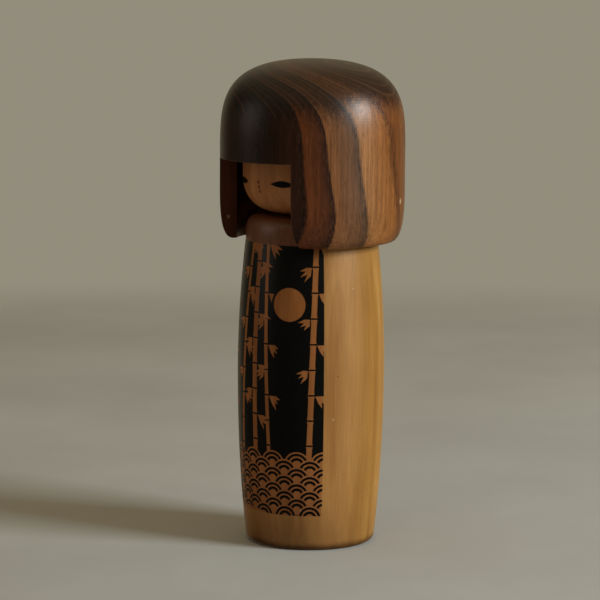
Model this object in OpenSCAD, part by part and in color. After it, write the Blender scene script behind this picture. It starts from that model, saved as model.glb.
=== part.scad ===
// Turned wooden doll: a barrel body, a dark shoulder dome, and a head that turns on a dowel.
// Millimetres. +Z is up, the origin is the centre of the base, and the face looks along -Y.

/* [Body] */
// Height of the body, from the base to the shoulder
body_h = 102.3; // [90:0.5:112]
// Widest diameter of the body
belly_d = 49.42; // [46:0.1:50]
// Height of the widest place above the base
belly_z = 58; // [45:0.5:70]
// How much the radius falls from the belly to the top
top_fall = 2.5; // [1:0.05:3]
// How much the radius falls from the belly to the base
base_fall = 3.1; // [1:0.05:4]
// Radius of the rounded edge at the base
base_round = 2.2; // [1.5:0.1:4]

/* [Shoulder] */
// Height of the shoulder dome above the body
shoulder_h = 8.4; // [7:0.1:8.5]
// Diameter of the flat seat under the chin
seat_d = 30; // [14:0.5:32]
// Diameter of the spigot let into the body
spigot_d = 22; // [18:0.5:26]
// Length of that spigot
spigot_len = 8; // [5:0.5:12]

/* [Face] */
// Diameter of the face
face_d = 46.6; // [44:0.1:48]
// Height where the face is fullest
cheek_z = 124.5; // [122:0.5:127]
// Underside of the face
chin_z = 111; // [111:0.1:112.5]
// Height where the hidden collar starts
collar_z = 134; // [131:0.5:138]

/* [Hair cap] */
// Outer diameter of the hair cap
hair_d = 62; // [60:0.5:66]
// Lowest edge of the hair
hair_z = 102; // [99:0.1:104]
// Height of the crown
crown_z = 162.7; // [158:0.1:166]
// Height where the sides start to turn in to the crown
temple_z = 132.4; // [130:0.1:135]
// Height where the hem starts to turn in
hem_z = 120; // [114:0.5:124]
// Diameter of the hollow inside
hollow_d = 51.4; // [50.4:0.1:53]
// Top of the hollow
hollow_z = 146; // [144:0.5:150]
// Width of the window for the face
window_w = 38.2; // [34:0.2:40]
// Lower edge of the fringe
fringe_z = 129.7; // [126:0.1:130]

/* [Dowel] */
// Diameter of the dowel
dowel_d = 12; // [10:0.5:13]
// How far the dowel reaches down into the body
dowel_down = 24; // [18:1:30]
// How far the dowel reaches up into the face
dowel_up = 17; // [12:0.5:20]

/* [Fits] */
// Radial clearance of the turning dowel
running_gap = 0.06; // [0.02:0.01:0.1]
// Radial gap filled by glue
glue_gap = 0.1; // [0.05:0.01:0.2]

/* [Hidden] */

round_fn = 96;
curve_steps = 22;
past = 1;

belly_r = belly_d / 2;
body_top_r = belly_r - top_fall;
seat_r = seat_d / 2;
face_r = face_d / 2;
hair_r = hair_d / 2;
hollow_r = hollow_d / 2;
hem_lip = 0.8;
hem_inset = 0.1;
crown_pull = 16;
hem_pull = 0.61;
spigot_floor = body_h - spigot_len;
dowel_foot = body_h - dowel_down;
dowel_head = chin_z + dowel_up;
window_depth = hair_r;

// Radius of the body at height z: a shallow parabola each side of the belly.
function body_r(z) = z < belly_z
    ? belly_r - base_fall * pow((belly_z - z) / belly_z, 2)
    : belly_r - top_fall * pow((z - belly_z) / (body_h - belly_z), 2);

// Lean of the body's wall just above the base, in degrees.
base_lean = atan(2 * base_fall / belly_z);
wall_foot_z = base_round * (1 - sin(base_lean));
base_flat_r = body_r(wall_foot_z) - base_round * cos(base_lean);

// Points from a to b on a cubic curve that leaves towards p and arrives from q.
function curve(a, p, q, b, steps) = [
    for (i = [0:steps])
        let (t = i / steps, u = 1 - t)
            u * u * u * a + 3 * u * u * t * p + 3 * u * t * t * q + t * t * t * b
];

// Points on a circle of radius r about c, from one angle to another.
function arc(c, r, from, to, steps) = [
    for (i = [0:steps])
        let (angle = from + (to - from) * i / steps)
            c + r * [cos(angle), sin(angle)]
];

body_wall = [
    for (i = [1:2 * curve_steps])
        let (z = wall_foot_z + (body_h - wall_foot_z) * i / (2 * curve_steps))
            [body_r(z), z]
];

body_outline = concat(
    [[0, body_h], [0, 0]],
    arc([base_flat_r, base_round], base_round, -90, -base_lean, 12),
    body_wall
);

shoulder_outline = concat(
    [[0, body_h]],
    curve(
        [body_top_r, body_h],
        [body_top_r, body_h + 0.85 * shoulder_h],
        [body_top_r - 0.4, body_h + shoulder_h],
        [seat_r, body_h + shoulder_h],
        curve_steps
    ),
    [[0, body_h + shoulder_h]]
);

face_outline = concat(
    [[0, chin_z]],
    curve(
        [dowel_d / 2 + 1, chin_z],
        [0.84 * face_r, chin_z],
        [face_r, chin_z + 0.4 * (cheek_z - chin_z)],
        [face_r, cheek_z],
        curve_steps
    ),
    [
        [face_r, collar_z],
        [hollow_r - glue_gap, collar_z + (hollow_r - face_r)],
        [hollow_r - glue_gap, hollow_z],
        [0, hollow_z]
    ]
);

hair_outline = concat(
    [[0, hair_z]],
    curve(
        [hollow_r + hem_lip, hair_z],
        [hair_r - hem_inset, hair_z],
        [hair_r, hair_z + hem_pull * (hem_z - hair_z)],
        [hair_r, hem_z],
        curve_steps
    ),
    curve(
        [hair_r, temple_z],
        [hair_r, temple_z + crown_pull],
        [hair_r, crown_z],
        [0, crown_z],
        2 * curve_steps
    )
);

module turned(outline) {
    rotate_extrude($fn = round_fn)
        polygon(outline);
}

module bore(r, from_z, to_z) {
    translate([0, 0, from_z])
        cylinder(r = r, h = to_z - from_z, $fn = round_fn);
}

// The barrel, with a socket for the spigot and a blind hole that the dowel turns in.
module body() {
    color("burlywood")
        difference() {
            turned(body_outline);
            bore(spigot_d / 2 + glue_gap, spigot_floor, body_h + past);
            bore(dowel_d / 2 + running_gap, dowel_foot - past, body_h + past);
        }
}

// The dark dome under the chin, glued into the body by its spigot.
module shoulder() {
    color("saddlebrown")
        difference() {
            union() {
                turned(shoulder_outline);
                bore(spigot_d / 2, spigot_floor, body_h + past);
            }
            bore(dowel_d / 2 + running_gap, spigot_floor - past, body_h + shoulder_h + past);
        }
}

// The dowel that the head turns on, glued into the face.
module neck_dowel() {
    color("wheat")
        bore(dowel_d / 2, dowel_foot, dowel_head);
}

// The pale plug that carries the face. Its collar fills the top of the hollow in the hair.
module face() {
    color("tan")
        difference() {
            turned(face_outline);
            bore(dowel_d / 2, chin_z - past, dowel_head);
        }
}

// The bobbed hair, hollow from below, with a window sawn in front of the face.
module hair_cap() {
    color("sienna")
        difference() {
            turned(hair_outline);
            bore(hollow_r, hair_z - past, hollow_z);
            translate([-window_w / 2, -window_depth - past, hair_z - past])
                cube([window_w, window_depth + past, fringe_z - hair_z + past]);
        }
}

body();
shoulder();
neck_dowel();
face();
hair_cap();
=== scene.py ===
"""Looks for the turned wooden doll: wood for its parts, films of ink and paint, stage and camera."""
import math
import random

import bpy
import numpy as np
from mathutils import Matrix, Vector
from mathutils.bvhtree import BVHTree
from mathutils.geometry import delaunay_2d_cdt


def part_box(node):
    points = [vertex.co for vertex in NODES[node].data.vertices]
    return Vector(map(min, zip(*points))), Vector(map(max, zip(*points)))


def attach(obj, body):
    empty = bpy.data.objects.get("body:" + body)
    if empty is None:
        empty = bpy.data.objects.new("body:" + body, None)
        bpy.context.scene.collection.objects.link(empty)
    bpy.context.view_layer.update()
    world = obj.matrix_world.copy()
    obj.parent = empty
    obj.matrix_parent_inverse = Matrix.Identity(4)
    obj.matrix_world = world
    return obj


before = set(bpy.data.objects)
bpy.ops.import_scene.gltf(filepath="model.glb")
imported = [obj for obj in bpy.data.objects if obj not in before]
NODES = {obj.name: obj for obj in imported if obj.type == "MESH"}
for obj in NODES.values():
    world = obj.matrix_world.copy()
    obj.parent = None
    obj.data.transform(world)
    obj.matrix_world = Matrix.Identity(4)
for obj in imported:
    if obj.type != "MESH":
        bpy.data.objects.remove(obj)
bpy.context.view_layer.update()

MM = 0.001
HAIR_LOW, HAIR_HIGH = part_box("hair_cap")
BODY_LOW, BODY_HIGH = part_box("body")
HAIR_R = HAIR_HIGH.x
TOTAL_H = HAIR_HIGH.z

# ---------------------------------------------------------------- camera

# Worked out from the photo's outline with scratch scripts, then adjusted against renders.
VIEW_TURN = math.radians(51.2)
CAMERA_DISTANCE = 0.9344
CAMERA_HEIGHT = 0.21212
CAMERA_PITCH = math.radians(7.96)
CAMERA_YAW = math.radians(0.237)
CAMERA_ROLL = math.radians(0.4)
LENS = 168.0


def make_camera():
    camera = bpy.data.objects.new("camera", bpy.data.cameras.new("camera"))
    bpy.context.scene.collection.objects.link(camera)
    camera.data.lens = LENS
    camera.data.sensor_width = 36.0
    camera.data.clip_start = 0.05
    camera.data.clip_end = 20.0
    place = Matrix.Translation(
        (CAMERA_DISTANCE * math.sin(VIEW_TURN), -CAMERA_DISTANCE * math.cos(VIEW_TURN), CAMERA_HEIGHT)
    )
    turn = Matrix.Rotation(VIEW_TURN + CAMERA_YAW, 4, "Z")
    tilt = Matrix.Rotation(math.pi / 2 - CAMERA_PITCH, 4, "X")
    roll = Matrix.Rotation(CAMERA_ROLL, 4, "Z")
    camera.matrix_world = place @ turn @ tilt @ roll
    bpy.context.scene.camera = camera


# ---------------------------------------------------------------- shader helpers

class Shader:
    """A material's node tree, with short calls for the nodes used here."""

    def __init__(self, name):
        self.material = bpy.data.materials.new(name)
        self.material.use_nodes = True
        self.tree = self.material.node_tree
        self.bsdf = self.tree.nodes["Principled BSDF"]
        self.place = self.tree.nodes.new("ShaderNodeTexCoord").outputs["Object"]

    def link(self, value, socket):
        if isinstance(value, bpy.types.NodeSocket):
            self.tree.links.new(value, socket)
        elif value is not None:
            socket.default_value = value

    def math(self, operation, a, b=None):
        node = self.tree.nodes.new("ShaderNodeMath")
        node.operation = operation
        self.link(a, node.inputs[0])
        self.link(b, node.inputs[1])
        return node.outputs[0]

    def vector(self, operation, a, b=None):
        node = self.tree.nodes.new("ShaderNodeVectorMath")
        node.operation = operation
        self.link(a, node.inputs[0])
        self.link(b, node.inputs["Scale"] if operation == "SCALE" else node.inputs[1])
        return node.outputs["Value" if operation in ("DOT_PRODUCT", "LENGTH") else "Vector"]

    def mapped(self, source, scale=(1, 1, 1), turn_z=0.0, offset=(0, 0, 0)):
        node = self.tree.nodes.new("ShaderNodeMapping")
        self.link(source, node.inputs["Vector"])
        node.inputs["Scale"].default_value = scale
        node.inputs["Rotation"].default_value = (0, 0, turn_z)
        node.inputs["Location"].default_value = offset
        return node.outputs[0]

    def split(self, source):
        node = self.tree.nodes.new("ShaderNodeSeparateXYZ")
        self.link(source, node.inputs[0])
        return node.outputs[0], node.outputs[1], node.outputs[2]

    def noise(self, source, scale, detail=2.0, roughness=0.5, distortion=0.0):
        node = self.tree.nodes.new("ShaderNodeTexNoise")
        self.link(source, node.inputs["Vector"])
        node.inputs["Scale"].default_value = scale
        node.inputs["Detail"].default_value = detail
        node.inputs["Roughness"].default_value = roughness
        node.inputs["Distortion"].default_value = distortion
        return node.outputs["Fac"]

    def noise_colour(self, scale):
        node = self.tree.nodes.new("ShaderNodeTexNoise")
        self.link(self.place, node.inputs["Vector"])
        node.inputs["Scale"].default_value = scale
        return node.outputs["Color"]

    def remap(self, value, low, high, to_low=0.0, to_high=1.0, smooth=False):
        node = self.tree.nodes.new("ShaderNodeMapRange")
        node.interpolation_type = "SMOOTHSTEP" if smooth else "LINEAR"
        self.link(value, node.inputs["Value"])
        node.inputs["From Min"].default_value = low
        node.inputs["From Max"].default_value = high
        node.inputs["To Min"].default_value = to_low
        node.inputs["To Max"].default_value = to_high
        return node.outputs[0]

    def product(self, a, b, weight=1.0):
        return self.math("MULTIPLY", self.math("MULTIPLY", a, b), weight)

    def ramp(self, value, stops):
        node = self.tree.nodes.new("ShaderNodeValToRGB")
        elements = node.color_ramp.elements
        while len(elements) < len(stops):
            elements.new(1.0)
        for element, (position, colour) in zip(elements, stops):
            element.position = position
            element.color = (*colour, 1.0)
        self.link(value, node.inputs[0])
        return node.outputs["Color"]

    def mix(self, factor, a, b, mode="MIX"):
        node = self.tree.nodes.new("ShaderNodeMix")
        node.data_type = "RGBA"
        node.blend_type = mode
        self.link(factor, node.inputs["Factor"])
        for value, socket in ((a, node.inputs[6]), (b, node.inputs[7])):
            if isinstance(value, tuple):
                value = (*value, 1.0)
            self.link(value, socket)
        return node.outputs[2]

    def tint(self, colour, by):
        """The colour multiplied by another."""
        return self.mix(1.0, colour, by, "MULTIPLY")

    def bump(self, height, strength, distance):
        node = self.tree.nodes.new("ShaderNodeBump")
        node.inputs["Strength"].default_value = strength
        node.inputs["Distance"].default_value = distance
        self.link(height, node.inputs["Height"])
        return node.outputs[0]

    def finish(self, colour, roughness, normal, coat=0.0, coat_roughness=0.2, specular=0.5):
        self.link(colour, self.bsdf.inputs["Base Color"])
        self.link(roughness, self.bsdf.inputs["Roughness"])
        self.link(normal, self.bsdf.inputs["Normal"])
        self.bsdf.inputs["Coat Weight"].default_value = coat
        self.bsdf.inputs["Coat Roughness"].default_value = coat_roughness
        self.bsdf.inputs["Specular IOR Level"].default_value = specular
        return self.material


def srgb(red, green, blue):
    """A linear colour from the 0 to 255 values a screen shows."""
    def linear(value):
        value = value / 255.0
        return value / 12.92 if value <= 0.04045 else ((value + 0.055) / 1.055) ** 2.4
    return (linear(red), linear(green), linear(blue))


# ---------------------------------------------------------------- hair cap wood

# How the blank's grain stands to the face: the panel of pale sapwood is to the doll's left.
HAIR_GRAIN_TURN = -VIEW_TURN
HAIR_GRAIN_UNIT = 30 * MM
HAIR_GRAIN_CENTRE_Z = TOTAL_H - 32.3 * MM
RING_LOW = -40.0
RING_HIGH = 20.0
# Ring edges where early wood starts again, in the ring coordinate below, fitted to the photo. A
# scratch script fitted them.
SIDE_EDGES = (-4.1, 0.2, 5.7, 11.6)
RING_STEP = 5.4
# Heights between which the side's long grain gives way to the crown's darker end grain.
CROWN_LOW = TOTAL_H - 21.5 * MM
CROWN_HIGH = TOTAL_H - 12.5 * MM
# Below this height the bands bow back towards the face.
BOW_Z = TOTAL_H - 42.7 * MM
BOW_PER_MM2 = 0.0098
FRINGE_Z = TOTAL_H - 33.0 * MM
WINDOW_HALF = 19.1 * MM


# The ring coordinate is a quadratic of place: a start, then a weight for each direction and pair of them.
# A scratch script fitted these to bands read off the photo.
RING_START = 23.48
RING_SIDE = 10.84
RING_DEPTH = -2.79
RING_HEIGHT = -6.0
RING_SIDE_SIDE = -22.18
RING_DEPTH_DEPTH = -27.12
RING_HEIGHT_HEIGHT = -1.53
RING_SIDE_DEPTH = -3.8
RING_SIDE_HEIGHT = 3.41
RING_DEPTH_HEIGHT = -6.85


def inner_edges():
    """The starts of the dark rings inside the first side edge, from the innermost out."""
    return [SIDE_EDGES[0] - count * RING_STEP for count in range(6, 0, -1)]


def ring_place(ring):
    """Where a value of the ring coordinate falls along a colour ramp."""
    return (ring - RING_LOW) / (RING_HIGH - RING_LOW)


def dark_stops():
    """Each dark ring: brown where it starts, then darker to its late wood."""
    early, middle, late = srgb(62, 36, 22), srgb(56, 32, 20), srgb(44, 25, 16)
    stops = []
    for edge in inner_edges():
        stops += [(edge + 0.1, early), (edge + 0.6 * RING_STEP, middle), (edge + RING_STEP - 0.1, late)]
    outermost = (srgb(50, 28, 18), srgb(66, 38, 24), srgb(54, 30, 20))
    stops[-3:] = [(place, colour) for (place, _), colour in zip(stops[-3:], outermost)]
    return stops


def side_stops():
    """The broad bands down the cap's side, from red-brown through pale sapwood to the far edge."""
    first, second, third, fourth = SIDE_EDGES
    return [
        (first + 0.1, srgb(120, 63, 32)),
        (first + 2.2, srgb(104, 56, 30)),
        (second - 0.1, srgb(68, 38, 24)),
        (second + 0.1, srgb(150, 94, 54)),
        (second + 1.6, srgb(138, 90, 56)),
        (third - 0.1, srgb(94, 65, 44)),
        (third + 0.1, srgb(168, 112, 62)),
        (third + 3.2, srgb(164, 104, 54)),
        (fourth - 0.8, srgb(154, 94, 46)),
        (fourth - 0.15, srgb(112, 62, 30)),
        (fourth + 0.2, srgb(132, 77, 36)),
        (fourth + 1.4, srgb(106, 61, 30)),
        (RING_HIGH, srgb(98, 57, 29)),
    ]


def ring_colour(shader, ring):
    stops = [(ring_place(place), colour) for place, colour in dark_stops() + side_stops()]
    return shader.ramp(shader.remap(ring, RING_LOW, RING_HIGH), stops)


def side_scale(shader):
    """Scales a place out to the widest radius below the fringe, so the bands run straight down there."""
    x, y, z = shader.split(shader.place)
    radius = shader.math("SQRT", shader.math("ADD", shader.product(x, x), shader.product(y, y)))
    widen = shader.math("DIVIDE", HAIR_R, shader.math("MAXIMUM", radius, 5 * MM))
    above = shader.remap(z, FRINGE_Z, FRINGE_Z + 14 * MM, smooth=True)
    below = shader.math("SUBTRACT", 1.0, above)
    widen = shader.math("ADD", shader.math("MULTIPLY", below, widen), above)
    scale = shader.tree.nodes.new("ShaderNodeCombineXYZ")
    shader.link(widen, scale.inputs[0])
    shader.link(widen, scale.inputs[1])
    scale.inputs[2].default_value = 1.0
    return scale.outputs[0]


def ring_terms(shader, place):
    """The weighted terms of the ring coordinate at a place in the blank's own directions."""
    side, depth, height = shader.split(place)
    product = shader.product
    return [
        shader.math("MULTIPLY", side, RING_SIDE),
        shader.math("MULTIPLY", depth, RING_DEPTH),
        shader.math("MULTIPLY", height, RING_HEIGHT),
        product(side, side, RING_SIDE_SIDE),
        product(depth, depth, RING_DEPTH_DEPTH),
        product(height, height, RING_HEIGHT_HEIGHT),
        product(side, depth, RING_SIDE_DEPTH),
        product(side, height, RING_SIDE_HEIGHT),
        product(depth, height, RING_DEPTH_HEIGHT),
    ]


def hem_bow(shader, ring):
    """How far the bands bow back towards the face near the hem, most at those next to the window."""
    drop = shader.math("MAXIMUM", shader.math("SUBTRACT", BOW_Z, shader.split(shader.place)[2]), 0.0)
    bow = shader.product(drop, drop, BOW_PER_MM2 / MM ** 2)
    near_face = shader.remap(ring, SIDE_EDGES[0], SIDE_EDGES[3], 1.0, 0.0)
    return shader.product(bow, near_face)


def hair_ring_coordinate(shader):
    """Growth rings as nested, bowed sheets that curve over the crown, and the place in the blank."""
    centred = shader.vector("SUBTRACT", shader.place, (0, 0, HAIR_GRAIN_CENTRE_Z))
    place = shader.mapped(centred, turn_z=HAIR_GRAIN_TURN)
    wobble = shader.noise(shader.mapped(place, (60, 60, 18)), 1.0, 2.0, 0.5)
    feather = shader.noise(shader.mapped(place, (2600, 2600, 160)), 1.0, 2.0, 0.6)
    unit = shader.mapped(shader.vector("MULTIPLY", place, side_scale(shader)), (1 / HAIR_GRAIN_UNIT,) * 3)
    shakes = [shader.remap(wobble, 0, 1, -0.6, 0.6), shader.remap(feather, 0, 1, -0.3, 0.3)]
    ring = RING_START
    for term in ring_terms(shader, unit) + shakes:
        ring = shader.math("ADD", term, ring)
    return shader.math("ADD", ring, hem_bow(shader, ring)), place


def late_wood(shader, ring):
    """How near a place is to the dark, porous end of its ring."""
    stops = []
    for edge in inner_edges() + list(SIDE_EDGES):
        stops += [(edge - 1.5, 0.0), (edge - 0.12, 1.0), (edge + 0.05, 0.0)]
    greys = [(ring_place(place), (value,) * 3) for place, value in stops]
    return shader.ramp(shader.remap(ring, RING_LOW, RING_HIGH), greys)


def all_of(shader, factors):
    """The product of factors from 0 to 1."""
    total = factors[0]
    for factor in factors[1:]:
        total = shader.math("MULTIPLY", total, factor)
    return total


def fringe_edge_highlight(shader, spot):
    """A painted highlight along the fringe's sawn lower edge, where its edge catches the light, as a factor.
    """
    side, depth, height = spot
    patchy = shader.remap(shader.noise(shader.place, 200.0, 2.0, 0.6), 0.4, 0.6, 0.1, 0.8)
    low = shader.remap(height, FRINGE_Z, FRINGE_Z + 0.3 * MM, 1.0, 0.0)
    above = shader.math("GREATER_THAN", height, FRINGE_Z - 0.05 * MM)
    between = shader.math("LESS_THAN", shader.math("ABSOLUTE", side), WINDOW_HALF)
    front = shader.math("LESS_THAN", depth, 0.0)
    return all_of(shader, (patchy, low, above, between, front))


def sawn(shader, spot):
    """The two upright faces that the saw left beside the window, as a factor."""
    side, depth, height = spot
    away = shader.math("ABSOLUTE", shader.math("SUBTRACT", shader.math("ABSOLUTE", side), WINDOW_HALF))
    near = shader.math("LESS_THAN", away, 0.12 * MM)
    front = shader.math("LESS_THAN", depth, 0.0)
    low = shader.math("LESS_THAN", height, FRINGE_Z + 0.05 * MM)
    return all_of(shader, (near, front, low))


def nick(shader, centre, size):
    """A small pale chip at that place, as a factor."""
    ragged = shader.vector("SUBTRACT", shader.noise_colour(1200.0), (0.5, 0.5, 0.5))
    shaken = shader.vector("ADD", shader.place, shader.vector("SCALE", ragged, 1.2 * MM))
    away = shader.vector("LENGTH", shader.vector("SUBTRACT", shaken, centre))
    return shader.remap(away, 0.5 * size, size, 0.75, 0.0)


def with_pores(shader, colour, place, late):
    """The colour with open pores, crowded in the late wood, and the pores as a factor."""
    pores = shader.noise(shader.mapped(place, (4600, 4600, 380)), 1.0, 1.0, 0.4)
    common = shader.remap(pores, 0.62, 0.70, 0.0, 0.4, smooth=True)
    crowded = shader.math("MULTIPLY", shader.remap(pores, 0.50, 0.60, 0.0, 0.85, smooth=True), late)
    mask = shader.math("MAXIMUM", common, crowded)
    colour = shader.mix(mask, colour, srgb(30, 17, 11))
    glint = shader.math("MULTIPLY", shader.remap(pores, 0.40, 0.33, 0.0, 0.35, smooth=True), late)
    return shader.mix(glint, colour, srgb(132, 96, 66)), mask


def crown_share(shader, ring, place, height):
    """How much of a place shows the crown's end grain, with a ragged lower edge."""
    chips = shader.noise(shader.mapped(place, (1300, 1300, 520)), 1.0, 2.0, 0.6)
    ragged = shader.math("ADD", height, shader.remap(chips, 0.25, 0.75, -2.4 * MM, 2.4 * MM))
    # The pale sapwood keeps its colour higher up than the darker bands do.
    ragged = shader.math("SUBTRACT", ragged, shader.remap(ring, 4.0, 9.0, 0.0, 3.6 * MM))
    return shader.remap(ragged, CROWN_LOW, CROWN_HIGH, smooth=True)


def crown_colour(shader, ring, colour):
    """The crown's dark end grain, with fine pale lines along the rings."""
    fine = shader.math("SINE", shader.math("MULTIPLY", ring, 2 * math.pi / 1.35))
    broad = shader.math("SINE", shader.math("MULTIPLY", ring, 2 * math.pi / 4.3))
    lines = shader.math("ADD", shader.remap(fine, 0.3, 1.0, 0.0, 0.6), shader.remap(broad, -1, 1, 0.0, 0.4))
    stripe = shader.ramp(lines, [(0.0, srgb(20, 12, 8)), (0.5, srgb(36, 21, 13)), (1.0, srgb(84, 56, 38))])
    return shader.mix(0.62, shader.tint(colour, (0.42, 0.34, 0.30)), stripe)


def with_marks(shader, colour, streak):
    """The colour with its sawn faces painted lighter for light bounced in through the window, a painted
    highlight on the fringe's lower edge, and two small nicks.
    """
    spot = shader.split(shader.place)
    # The sawn faces are lighter than their wood: painted light, standing in for light bounced in through the
    # window.
    sawn_face_light = shader.mix(streak, srgb(82, 48, 36), srgb(112, 68, 50))
    colour = shader.mix(sawn(shader, spot), colour, sawn_face_light)
    # Painted highlight: a pale line along the fringe's lower edge.
    colour = shader.mix(fringe_edge_highlight(shader, spot), colour, srgb(140, 108, 80))
    turn = math.radians(122.0)
    on_side = (HAIR_R * math.sin(turn), -HAIR_R * math.cos(turn), TOTAL_H - 46.5 * MM)
    colour = shader.mix(nick(shader, on_side, 1.3 * MM), colour, srgb(206, 170, 124))
    on_cut = (-WINDOW_HALF, -20.8 * MM, TOTAL_H - 53.3 * MM)
    return shader.mix(nick(shader, on_cut, 0.9 * MM), colour, srgb(190, 160, 130))


def hair_wood():
    shader = Shader("hair_wood")
    ring, place = hair_ring_coordinate(shader)
    streak = shader.noise(shader.mapped(place, (900, 900, 24)), 1.0, 3.0, 0.65)
    fibre = shader.noise(shader.mapped(place, (4200, 4200, 130)), 1.0, 2.0, 0.6)
    colour = ring_colour(shader, ring)
    colour = shader.tint(colour, shader.ramp(streak, [(0.3, (0.70, 0.68, 0.66)), (0.7, (1.24,) * 3)]))
    colour = shader.tint(colour, shader.ramp(fibre, [(0.32, (0.78,) * 3), (0.68, (1.16,) * 3)]))
    colour, pores = with_pores(shader, colour, place, late_wood(shader, ring))
    height = shader.split(shader.place)[2]
    end_grain = crown_share(shader, ring, place, height)
    colour = shader.mix(end_grain, colour, crown_colour(shader, ring, colour))
    colour = with_marks(shader, colour, streak)
    roughness = shader.remap(fibre, 0.2, 0.8, 0.32, 0.40)
    normal = shader.bump(pores, 0.25, 0.08 * MM)
    return shader.finish(colour, roughness, normal, coat=0.03, coat_roughness=0.25, specular=0.36)


# ---------------------------------------------------------------- pale wood

RIM_LOW = 0.8 * MM
RIM_HIGH = 3.2 * MM
FOOT_HEIGHT = 24 * MM


def facing_turn(shader, turn_deg):
    """The cosine of the angle between a place on the turned side and that turn from the front."""
    turn = math.radians(turn_deg)
    level = shader.vector("NORMALIZE", shader.vector("MULTIPLY", shader.place, (1, 1, 0)))
    return shader.vector("DOT_PRODUCT", level, (math.sin(turn), -math.cos(turn), 0))


def under_print(shader):
    """The wood that lies within the printed panel, as a factor."""
    x, y, z = shader.split(shader.place)
    around = shader.math("ARCTAN2", x, shader.math("MULTIPLY", y, -1.0))
    off_centre = shader.math("ABSOLUTE", shader.math("SUBTRACT", around, PANEL_TURN))
    half = PANEL_HALF / PANEL_R
    across = shader.remap(off_centre, half - 0.02, half, 1.0, 0.0)
    return shader.product(across, shader.math("GREATER_THAN", z, PANEL_LOW * MM))


def body_figure(shader, colour):
    """The body's broad colour: a paler bluish stripe that is a painted highlight, painted light on the side
    facing the key lamp, and the wood within the printed panel tinted darker and redder.
    """
    height = shader.split(shader.place)[2]
    drift = shader.noise(shader.mapped(shader.place, (70, 70, 28)), 1.0, 3.0, 0.6)
    bend = shader.remap(drift, 0.2, 0.8, -0.05, 0.05)
    # The paler bluish stripe is a painted highlight, where the key lamp's sheen runs down the body.
    stripe = shader.remap(shader.math("ADD", facing_turn(shader, 74.0), bend), 0.95, 1.01, smooth=True)
    pale = shader.product(stripe, shader.remap(height, 50 * MM, 80 * MM, smooth=True), 0.25)
    colour = shader.mix(pale, colour, shader.tint(colour, (1.0, 1.05, 1.3)))
    # Painted light: the side facing the key lamp is made lighter and yellower.
    key_side_light = shader.remap(shader.math("ADD", facing_turn(shader, 122.0), bend), 0.72, 0.98, smooth=True)
    colour = shader.mix(key_side_light, colour, shader.tint(colour, (1.1, 1.15, 1.02)))
    # Wood within the printed panel is tinted darker and redder.
    return shader.mix(under_print(shader), colour, shader.tint(colour, (0.84, 0.66, 0.68)))


def with_foot(shader, colour, cloud):
    """The colour darker towards the foot, more so on the side turned from the key lamp, which is painted
    shade, and darkest at its rim, which is painted shade where the foot meets the floor.
    """
    unsteady = shader.remap(cloud, 0.2, 0.8, -1.0 * MM, 1.0 * MM)
    height = shader.math("ADD", shader.split(shader.place)[2], unsteady)
    # The side turned from the key lamp darkens most: painted shade.
    worn = shader.remap(facing_turn(shader, 118.0), 0.2, 0.95, 1.0, 0.35)
    dark_foot_and_shade = shader.product(shader.remap(height, 0.0, FOOT_HEIGHT, 1.0, 0.0, smooth=True), worn)
    colour = shader.mix(dark_foot_and_shade, colour, shader.tint(colour, (0.58, 0.57, 0.62)))
    # Painted shade: the rim where the foot rounds under towards the floor is darkened.
    rim_shade = shader.remap(height, RIM_LOW, RIM_HIGH, 1.0, 0.0, smooth=True)
    return shader.mix(rim_shade, colour, shader.tint(colour, (0.46, 0.42, 0.40)))


def pale_rings(shader, place, early, late, pith):
    """Faint growth rings about a pith that stands off the piece, nearly upright."""
    spacing = 2.6 * MM
    drift = shader.noise(shader.mapped(place, (60, 60, 9)), 1.0, 2.0, 0.5)
    flat = shader.mapped(place, (1, 1, 0.06), offset=(pith[0] * MM, pith[1] * MM, 0))
    unsteady = shader.remap(drift, 0, 1, -2.0 * MM, 2.0 * MM)
    ring = shader.math("ADD", shader.vector("LENGTH", flat), unsteady)
    wave = shader.math("SINE", shader.math("MULTIPLY", ring, 2 * math.pi / spacing))
    return shader.mix(shader.remap(wave, -1, 1, 0.25, 0.6), early, late)


def with_flecks(shader, colour, place):
    """The colour with sparse pale and dark specks."""
    flecks = shader.noise(shader.mapped(place, (700, 700, 480)), 1.0, 1.0, 0.4)
    colour = shader.mix(shader.remap(flecks, 0.79, 0.83, 0.0, 0.5), colour, srgb(222, 190, 142))
    return shader.mix(shader.remap(flecks, 0.19, 0.15, 0.0, 0.6), colour, srgb(92, 52, 26))


def pale_wood(name, early, late, pith, turn=0.0, on_body=False):
    """Close-grained pale wood under satin lacquer, with its grain upright."""
    shader = Shader(name)
    place = shader.mapped(shader.place, turn_z=turn)
    fibre = shader.noise(shader.mapped(place, (1500, 1500, 28)), 1.0, 3.0, 0.6)
    cloud = shader.noise(shader.mapped(place, (90, 90, 30)), 1.0, 3.0, 0.55)
    bands = shader.noise(shader.mapped(place, (150, 150, 10)), 1.0, 3.0, 0.6, distortion=0.6)
    band_tones = [(0.35, (0.84, 0.80, 0.74)), (0.52, (1.0, 1.0, 1.0)), (0.66, (1.14, 1.16, 1.2))]
    colour = pale_rings(shader, place, early, late, pith)
    colour = shader.tint(colour, shader.ramp(fibre, [(0.3, (0.9,) * 3), (0.7, (1.08,) * 3)]))
    colour = shader.tint(colour, shader.ramp(cloud, [(0.25, (0.9, 0.87, 0.82)), (0.75, (1.06, 1.07, 1.1))]))
    colour = shader.tint(colour, shader.ramp(bands, band_tones))
    colour = with_flecks(shader, colour, place)
    if on_body:
        colour = with_foot(shader, body_figure(shader, colour), cloud)
    roughness = shader.remap(cloud, 0.2, 0.8, 0.36, 0.46)
    normal = shader.bump(fibre, 0.08, 0.05 * MM)
    return shader.finish(colour, roughness, normal, coat=0.04, coat_roughness=0.3, specular=0.3)


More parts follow.
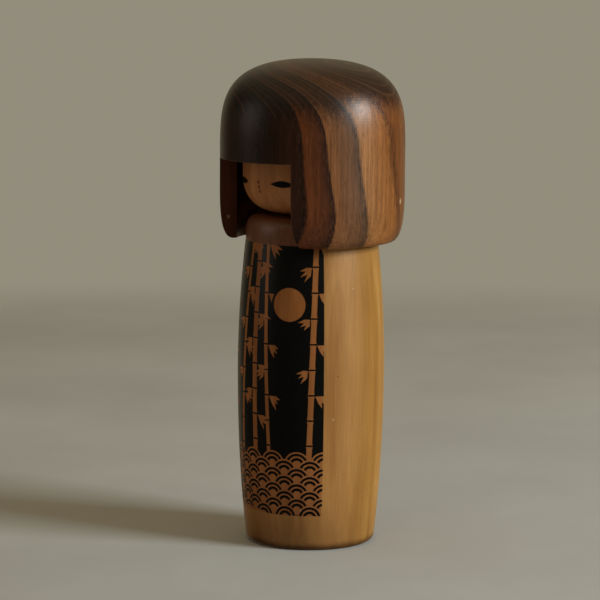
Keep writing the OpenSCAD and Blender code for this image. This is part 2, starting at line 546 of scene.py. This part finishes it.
def stained_wood():
    shader = Shader("shoulder_wood")
    grain = shader.noise(shader.mapped(shader.place, (1400, 1400, 60)), 1.0, 3.0, 0.6)
    colour = shader.ramp(grain, [(0.3, srgb(104, 62, 40)), (0.7, srgb(134, 82, 54))])
    roughness = shader.remap(grain, 0.2, 0.8, 0.34, 0.44)
    normal = shader.bump(grain, 0.08, 0.05 * MM)
    return shader.finish(colour, roughness, normal, coat=0.1, coat_roughness=0.3)


def ink(name, colour):
    shader = Shader(name)
    grain = shader.noise(shader.place, 900.0, 3.0, 0.6)
    tone = shader.mix(grain, colour, tuple(1.6 * c for c in colour))
    roughness = shader.remap(grain, 0.2, 0.8, 0.3, 0.42)
    return shader.finish(tone, roughness, shader.bump(grain, 0.06, 0.04 * MM), specular=0.4)


def dress(node, material):
    mesh = NODES[node].data
    mesh.materials.clear()
    mesh.materials.append(material)


# ---------------------------------------------------------------- drawing on a turned surface

def subdivided(loop, longest):
    """The loop with points added so that no edge is longer than that."""
    out = []
    for (u0, v0), (u1, v1) in zip(loop, loop[1:] + loop[:1]):
        steps = max(1, math.ceil(math.hypot(u1 - u0, v1 - v0) / longest))
        out += [(u0 + (u1 - u0) * i / steps, v0 + (v1 - v0) * i / steps) for i in range(steps)]
    return out


def inside(points, loop):
    """Which points lie in the loop, by crossings."""
    hit = np.zeros(len(points), bool)
    x, y = points[:, 0], points[:, 1]
    for (x0, y0), (x1, y1) in zip(loop, loop[1:] + loop[:1]):
        if y0 != y1:
            crosses = (y0 > y) != (y1 > y)
            hit ^= crosses & (x < (x1 - x0) * (y - y0) / (y1 - y0) + x0)
    return hit


class Drawing:
    """Flat shapes in millimetres round and up the surface: the last shape laid over a place decides it."""

    def __init__(self):
        self.shapes = []

    def shape(self, loop, printed):
        self.shapes.append(([(float(u), float(v)) for u, v in loop], printed))

    def box(self, u0, v0, u1, v1, printed):
        self.shape([(u0, v0), (u1, v0), (u1, v1), (u0, v1)], printed)

    def oval(self, u, v, ru, rv, printed, lean=0.0, sides=28):
        c, s = math.cos(lean), math.sin(lean)
        angles = [2 * math.pi * i / sides for i in range(sides)]
        points = [(ru * math.cos(a), rv * math.sin(a)) for a in angles]
        self.shape([(u + x * c - y * s, v + x * s + y * c) for x, y in points], printed)

    def stroke(self, path, width, printed, taper=1.0):
        """A brush line along a path, with its ends taper times as wide as its middle."""
        left, right = [], []
        last = len(path) - 1
        for i, (u, v) in enumerate(path):
            a, b = path[max(i - 1, 0)], path[min(i + 1, last)]
            length = math.hypot(b[0] - a[0], b[1] - a[1]) or 1.0
            edge = abs(2 * i / last - 1) if last > 1 else 1.0
            half = width / 2 * (1 + (taper - 1) * edge)
            nu, nv = -(b[1] - a[1]) / length * half, (b[0] - a[0]) / length * half
            left.append((u + nu, v + nv))
            right.append((u - nu, v - nv))
        self.shape(left + right[::-1], printed)

    def triangles(self, longest, grid=None):
        """The printed area as triangles: (points, triangles)."""
        points, edges = [], []
        for loop, _ in self.shapes:
            loop = subdivided(loop, longest)
            start = len(points)
            points += loop
            edges += [(start + i, start + (i + 1) % len(loop)) for i in range(len(loop))]
        if grid:
            (u0, v0), (u1, v1), (du, dv) = grid
            columns, rows = math.ceil((u1 - u0) / du), math.ceil((v1 - v0) / dv)
            points += [(u0 + (u1 - u0) * i / columns, v0 + (v1 - v0) * j / rows)
                       for i in range(1, columns) for j in range(1, rows)]
        done = delaunay_2d_cdt([Vector(p) for p in points], edges, [], 0, 1e-4)
        flat = np.array([tuple(p) for p in done[0]])
        faces = np.array([tuple(f) for f in done[2]])
        centres = flat[faces].mean(axis=1)
        printed = np.zeros(len(faces), bool)
        for loop, value in self.shapes:
            printed[inside(centres, loop)] = value
        outline = self.shapes[0][0]
        return flat, faces[printed & inside(centres, outline)]


FILM_LIFT = 0.06 * MM


def surface_of(node):
    mesh = NODES[node].data
    points = [v.co.copy() for v in mesh.vertices]
    return BVHTree.FromPolygons(points, [tuple(p.vertices) for p in mesh.polygons])


def laid_on(node, points, radius, turn):
    """The drawing's points on the node's surface, found by rays cast at its axis: (outside, inside)."""
    tree = surface_of(node)
    outer, inner = [], []
    for u, v in points:
        angle = u / radius + turn
        out = Vector((math.sin(angle), -math.cos(angle), 0))
        start = out * (2 * HAIR_R) + Vector((0, 0, v * MM))
        hit, _, _, _ = tree.ray_cast(start, -out)
        outer.append(hit + out * FILM_LIFT)
        inner.append(hit - out * 0.5 * FILM_LIFT)
    return outer, inner


def shell_faces(tops, count):
    """The faces of a closed shell: the tops, the same beneath them, and walls round every open edge."""
    edges = {}
    for a, b, c in tops:
        for edge in ((a, b), (b, c), (c, a)):
            edges[edge] = True
    walls = [(b, a, a + count, b + count) for a, b in edges if (b, a) not in edges]
    floors = [(c + count, b + count, a + count) for a, b, c in tops]
    return tops + floors + walls


def film(name, node, drawing, radius, longest, grid=None, turn=0.0):
    """A closed thin film of the drawing, laid on the node's surface."""
    flat, faces = drawing.triangles(longest, grid)
    used = np.unique(faces)
    index = {int(old): new for new, old in enumerate(used)}
    outer, inner = laid_on(node, flat[used], radius, turn)
    tops = [tuple(index[int(i)] for i in face) for face in faces]
    mesh = bpy.data.meshes.new(name)
    mesh.from_pydata(outer + inner, [], shell_faces(tops, len(used)))
    mesh.update()
    mesh.shade_smooth()
    mesh.set_sharp_from_angle(angle=math.radians(35))
    piece = bpy.data.objects.new(name, mesh)
    bpy.context.scene.collection.objects.link(piece)
    return piece


# ---------------------------------------------------------------- the printed panel

# Millimetres round the surface and up it. The panel's own radius turns the first into an angle.
PANEL_R = 24.0
PANEL_HALF = 26.3
PANEL_TURN = -math.radians(1.5)
PANEL_LOW = 12.1
WATER_TOP = 34.0
PANEL_HIGH = BODY_HIGH.z / MM - 0.04


def draw_worn_edge(d, rng):
    """The panel's lower edge, rubbed back a little on the left."""
    worn = [(-PANEL_HALF + 3.2 * i, PANEL_LOW + rng.uniform(0.9, 2.1)) for i in range(9)]
    d.shape([(-PANEL_HALF, PANEL_LOW)] + worn + [(3.4, PANEL_LOW + 0.7), (4.8, PANEL_LOW)], False)


def draw_moon(d):
    """A plain full moon, with a dark ring that keeps the leaves off it."""
    u, v, radius, ring = 14.6, 83.0, 5.6, 0.8
    d.oval(u, v, radius + ring, radius + ring, True, sides=48)
    d.oval(u, v, radius, radius, False, sides=48)


def draw_leaf(d, u, v, length, lean):
    """One long pointed leaf that hangs from its stalk."""
    tip = (u + length * math.sin(lean), v - length * math.cos(lean))
    middle = ((u + tip[0]) / 2 + 0.4, (v + tip[1]) / 2)
    d.stroke([(u, v), middle, tip], 1.3, False, taper=0.05)


def draw_joint(d, low, high, thick):
    """One length of bamboo between two points, flared a little at its ends."""
    (u0, v0), (u1, v1) = low, high
    wide, slim = 0.6 * thick, 0.5 * thick
    d.shape([(u0 - wide, v0), (u0 + wide, v0), (u0 + slim, v0 + 1.0),
             (u1 + slim, v1 - 1.0), (u1 + wide, v1), (u1 - wide, v1),
             (u1 - slim, v1 - 1.0), (u0 - slim, v0 + 1.0)], False)


def draw_bamboo(d, rng, foot, lean, thick):
    """A bamboo stalk from under the water to the panel's top, with leaves at its joints."""
    joint, gap = 8.5, 0.5
    base = WATER_TOP - rng.uniform(1.0, joint - 1.0)
    v = base
    side = 1
    while v < PANEL_HIGH:
        top = min(v + joint - gap, PANEL_HIGH)
        u = foot + lean * (top - base)
        draw_joint(d, (foot + lean * (v - base), v), (u, top), thick)
        if v > WATER_TOP + 3.0:
            for turn in (0.5, 0.9, 1.3):
                draw_leaf(d, u + side * 0.7 * thick, top, rng.uniform(4.0, 5.6), side * turn)
            side = -side
        v += joint


def draw_waves(d):
    """Rows of overlapping scallop waves, each of three rings, along the foot of the panel."""
    radius, drop = 4.4, 2.6
    rings = ((1.0, False), (0.86, True), (0.68, False), (0.54, True), (0.34, False))
    for row in range(8):
        v = WATER_TOP - radius - drop * row
        shift = radius if row % 2 else 0.0
        for column in range(-4, 4):
            for share, printed in rings:
                d.oval(2 * radius * column + shift, v, share * radius, share * radius, printed, sides=26)


# Each stalk's foot, lean and thickness.
STALKS = (
    (-22.0, 0.02, 1.6),
    (-14.5, -0.03, 2.0),
    (-6.5, 0.05, 1.5),
    (1.5, 0.0, 2.1),
    (7.6, -0.03, 1.4),
    (21.5, 0.03, 1.9),
)


def printed_panel(material):
    rng = random.Random(7)
    drawing = Drawing()
    drawing.box(-PANEL_HALF, PANEL_LOW, PANEL_HALF, PANEL_HIGH, True)
    for foot, lean, thick in STALKS:
        draw_bamboo(drawing, rng, foot, lean, thick)
    draw_moon(drawing)
    draw_waves(drawing)
    draw_worn_edge(drawing, rng)
    grid = ((-PANEL_HALF, PANEL_LOW), (PANEL_HALF, PANEL_HIGH), (1.5, 2.5))
    piece = film("printed_panel", "body", drawing, PANEL_R, 2.0, grid, PANEL_TURN)
    piece.data.materials.append(material)
    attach(piece, "doll_body")


# ---------------------------------------------------------------- the painted face

FACE_R = 22.9
EYE_Z = 122.4
EYE_THICK = 2.2
# Degrees from the front to each eye's inner and outer point.
EYES = {"eye_left": (14.7, 37.0), "eye_right": (-14.6, -38.0)}


def almond(inner, outer, v, thick, points=14):
    """An almond eye: two arcs that meet in points, the upper one a little fuller."""
    top = []
    bottom = []
    for i in range(points + 1):
        t = i / points
        u = inner + (outer - inner) * t
        belly = math.sin(math.pi * t)
        top.append((u, v + 0.55 * thick * belly))
        bottom.append((u, v - 0.45 * thick * belly))
    return top + bottom[-2:0:-1]


def paint_face(black, red):
    for name, (inner, outer) in EYES.items():
        eye = Drawing()
        eye.shape(almond(math.radians(inner) * FACE_R, math.radians(outer) * FACE_R, EYE_Z, EYE_THICK), True)
        piece = film(name, "face", eye, FACE_R, 0.5)
        piece.data.materials.append(black)
        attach(piece, "head")
    for i in range(3):
        dot = Drawing()
        dot.oval(0.40 + 0.10 * i, EYE_Z + 0.25 - 1.55 * i, 0.38, 0.55, True, lean=0.15, sides=16)
        piece = film(f"nose_dot_{i + 1}", "face", dot, FACE_R, 0.5)
        piece.data.materials.append(red)
        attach(piece, "head")


# ---------------------------------------------------------------- stage

BACKGROUND = srgb(146, 141, 124)
ROOM_COLOUR = srgb(150, 138, 112)
ROOM_DARK = 0.12
ROOM_CEILING = 1.1
ROOM_WALL = 0.9
FLOOR_R = 0.7
FADE_START = 0.5
FADE_END = 0.68


def cloth():
    """Pale cloth that fades out at the edge of the table."""
    shader = Shader("floor")
    fade = shader.remap(shader.vector("LENGTH", shader.place), FADE_START, FADE_END, smooth=True)
    weave = shader.noise(shader.place, 9.0, 4.0, 0.5)
    colour = shader.ramp(weave, [(0.3, (0.49, 0.475, 0.45)), (0.7, (0.56, 0.545, 0.515))])
    shader.finish(colour, 0.85, shader.bump(weave, 0.3, 6 * MM), specular=0.15)
    clear = shader.tree.nodes.new("ShaderNodeBsdfTransparent")
    blend = shader.tree.nodes.new("ShaderNodeMixShader")
    shader.link(fade, blend.inputs[0])
    shader.link(shader.bsdf.outputs[0], blend.inputs[1])
    shader.link(clear.outputs[0], blend.inputs[2])
    shader.link(blend.outputs[0], shader.tree.nodes["Material Output"].inputs["Surface"])
    return shader.material


def make_floor():
    bpy.ops.mesh.primitive_circle_add(vertices=96, radius=FLOOR_R, fill_type="NGON", location=(0, 0, 0))
    floor = bpy.context.object
    floor.name = "floor"
    # The room beyond the cloth is dark, so polished wood mirrors the room and not the cloth.
    floor.visible_glossy = False
    floor.data.materials.append(cloth())


def new_node(tree, kind, **settings):
    node = tree.nodes.new(kind)
    for key, value in settings.items():
        setattr(node, key, value)
    return node


def added(tree, a, b):
    node = new_node(tree, "ShaderNodeMath", operation="ADD")
    for value, socket in ((a, node.inputs[0]), (b, node.inputs[1])):
        if isinstance(value, bpy.types.NodeSocket):
            tree.links.new(value, socket)
        else:
            socket.default_value = value
    return node.outputs[0]


def shining_from(tree, place, direction, low, high, strength):
    """How brightly the room shines from that side, fading between two cosines."""
    dot = new_node(tree, "ShaderNodeVectorMath", operation="DOT_PRODUCT")
    tree.links.new(place, dot.inputs[0])
    dot.inputs[1].default_value = direction
    fade = new_node(tree, "ShaderNodeMapRange", interpolation_type="SMOOTHSTEP")
    tree.links.new(dot.outputs["Value"], fade.inputs["Value"])
    for name, value in (("From Min", low), ("From Max", high), ("To Min", 0.0), ("To Max", strength)):
        fade.inputs[name].default_value = value
    return fade.outputs[0]


def make_world():
    """An even wall behind everything seen. What lights it is a dark room with a bright wall and ceiling."""
    world = bpy.data.worlds.new("world")
    world.use_nodes = True
    tree = world.node_tree
    place = new_node(tree, "ShaderNodeTexCoord").outputs["Generated"]
    behind = (-math.sin(VIEW_TURN), math.cos(VIEW_TURN), 0.0)
    wall = shining_from(tree, place, behind, 0.62, 0.95, ROOM_WALL)
    ceiling = shining_from(tree, place, (0, 0, 1), 0.25, 0.85, ROOM_CEILING)
    room = new_node(tree, "ShaderNodeBackground")
    room.inputs["Color"].default_value = (*ROOM_COLOUR, 1.0)
    tree.links.new(added(tree, added(tree, wall, ceiling), ROOM_DARK), room.inputs["Strength"])
    seen = new_node(tree, "ShaderNodeBackground")
    seen.inputs["Color"].default_value = (*BACKGROUND, 1.0)
    choice = new_node(tree, "ShaderNodeMixShader")
    tree.links.new(new_node(tree, "ShaderNodeLightPath").outputs["Is Camera Ray"], choice.inputs[0])
    tree.links.new(room.outputs[0], choice.inputs[1])
    tree.links.new(seen.outputs[0], choice.inputs[2])
    tree.links.new(choice.outputs[0], tree.nodes["World Output"].inputs["Surface"])
    bpy.context.scene.world = world


LIGHT_DISTANCE = 1.3


def make_light(name, turn_deg, rise_deg, size, watts, colour):
    """A square soft light. Its turn is measured as the camera's is, from the front towards +X."""
    light = bpy.data.lights.new(name, "AREA")
    light.size = size
    light.energy = watts
    light.color = colour
    lamp = bpy.data.objects.new(name, light)
    turn, rise = math.radians(turn_deg), math.radians(rise_deg)
    aim = Vector((0, 0, 0.5 * TOTAL_H))
    out = Vector((math.cos(rise) * math.sin(turn), -math.cos(rise) * math.cos(turn), math.sin(rise)))
    lamp.location = aim + LIGHT_DISTANCE * out
    lamp.rotation_euler = (-out).to_track_quat("-Z", "Y").to_euler()
    bpy.context.scene.collection.objects.link(lamp)


def make_lights():
    view = math.degrees(VIEW_TURN)
    make_light("key", view + 66, 23, 0.44, 13.9, (0.87, 0.97, 1.0))
    make_light("fill", view - 84, 14, 0.55, 0.85, (1.0, 0.95, 0.86))


# ---------------------------------------------------------------- assembly

make_camera()
make_world()
make_lights()
make_floor()

dress("hair_cap", hair_wood())
body_tones = (srgb(186, 132, 72), srgb(172, 116, 58))
face_tones = (srgb(200, 133, 81), srgb(186, 119, 69))
dowel_tones = (srgb(214, 180, 134), srgb(196, 158, 112))
dress("body", pale_wood("body_wood", *body_tones, pith=(70, 30), turn=0.4, on_body=True))
dress("face", pale_wood("face_wood", *face_tones, pith=(-50, 60), turn=1.1))
dress("neck_dowel", pale_wood("dowel_wood", *dowel_tones, pith=(20, 10)))
dress("shoulder", stained_wood())

black_ink = ink("black_ink", (0.0022, 0.0022, 0.002))
red_ink = ink("red_ink", srgb(96, 36, 22))
printed_panel(black_ink)
paint_face(black_ink, red_ink)

bpy.context.scene.view_settings.view_transform = "Standard"
